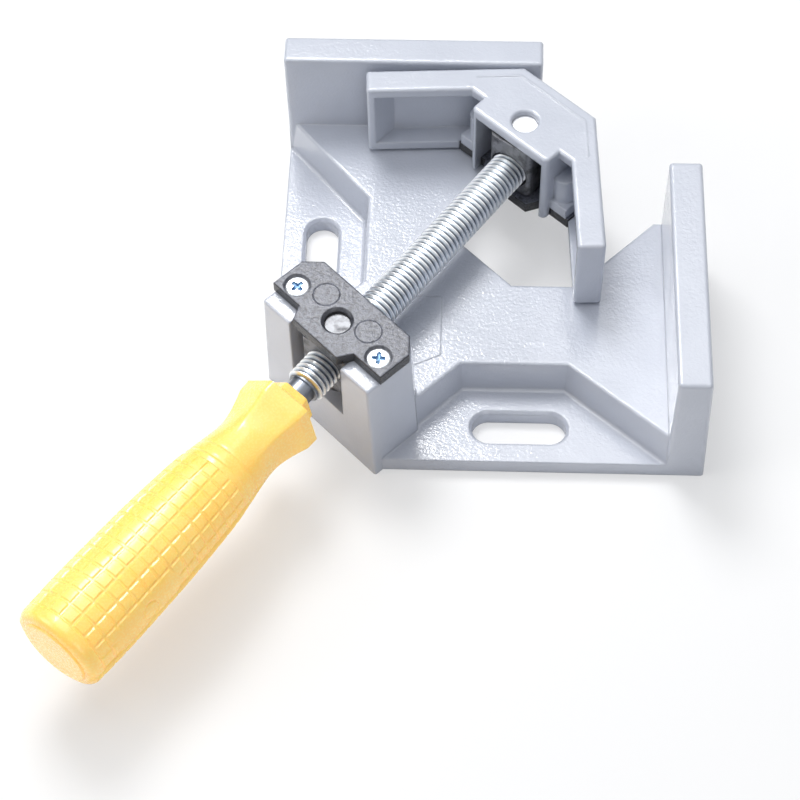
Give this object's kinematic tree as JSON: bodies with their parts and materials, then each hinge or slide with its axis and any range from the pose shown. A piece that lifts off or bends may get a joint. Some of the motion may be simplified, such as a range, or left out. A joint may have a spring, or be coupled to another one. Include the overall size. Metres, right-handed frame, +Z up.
{
  "type": "corner clamp",
  "caption": "Right-angle corner clamp: cast base with two fences, a swivelling lead screw with a handle, and a V jaw that presses work into the corner.",
  "frame": {"origin": "the work corner: the point at bench level under the line where the two fence faces would meet", "axes": "+Z up; X runs along the back fence's face and Y along the right fence's face, and the handle is towards -X and -Y"},
  "size_m": [0.2244, 0.2541, 0.0565],
  "materials": {
    "painted_casting": "gloss paint with a fine orange-peel surface",
    "black_plate": "satin black, grainy cast face",
    "sintered_steel": "matt dark grey, pitted",
    "zinc_steel": "bright zinc plate",
    "yellow_plastic": "glossy, slightly translucent"
  },
  "bodies": {
    "base": {"base_casting": "painted_casting", "nut_cover_plate": "black_plate", "nut_cover_screws": "zinc_steel"},
    "nut": {"trunnion_nut": "sintered_steel"},
    "carrier": {"swivel_block": "sintered_steel"},
    "screw": {"lead_screw": "zinc_steel", "thrust_washer": "zinc_steel", "retaining_ring": "zinc_steel", "handle_grip": "yellow_plastic", "handle_end_plug": "yellow_plastic"},
    "jaw": {"jaw_casting": "painted_casting", "jaw_cover_plate": "black_plate", "jaw_cover_screws": "zinc_steel"}
  },
  "joints": [
    {"name": "nut_swing", "type": "hinge", "parent": "base", "child": "nut", "pos_m": [-0.11399, -0.11399, 0.037], "axis": [0, 0, 1], "range_deg": [-18.8, 0]},
    {"name": "jaw_feed", "type": "slide", "parent": "nut", "child": "carrier", "axis": [0.5821, 0.8131, 0], "range_m": [-0.07602, 0]},
    {"name": "screw_spin", "type": "hinge", "parent": "carrier", "child": "screw", "pos_m": [-0.05091, -0.02588, 0.037], "axis": [0.5821, 0.8131, 0], "range_deg": [-13680, 0]},
    {"name": "jaw_swivel", "type": "hinge", "parent": "carrier", "child": "jaw", "pos_m": [-0.05091, -0.02588, 0.037], "axis": [0, 0, 1], "range_deg": [-2.8, 16]}
  ],
  "couplings": [
    {"joint": "jaw_feed", "follows": "screw_spin", "m_per_rad": 0.00031831}
  ]
}
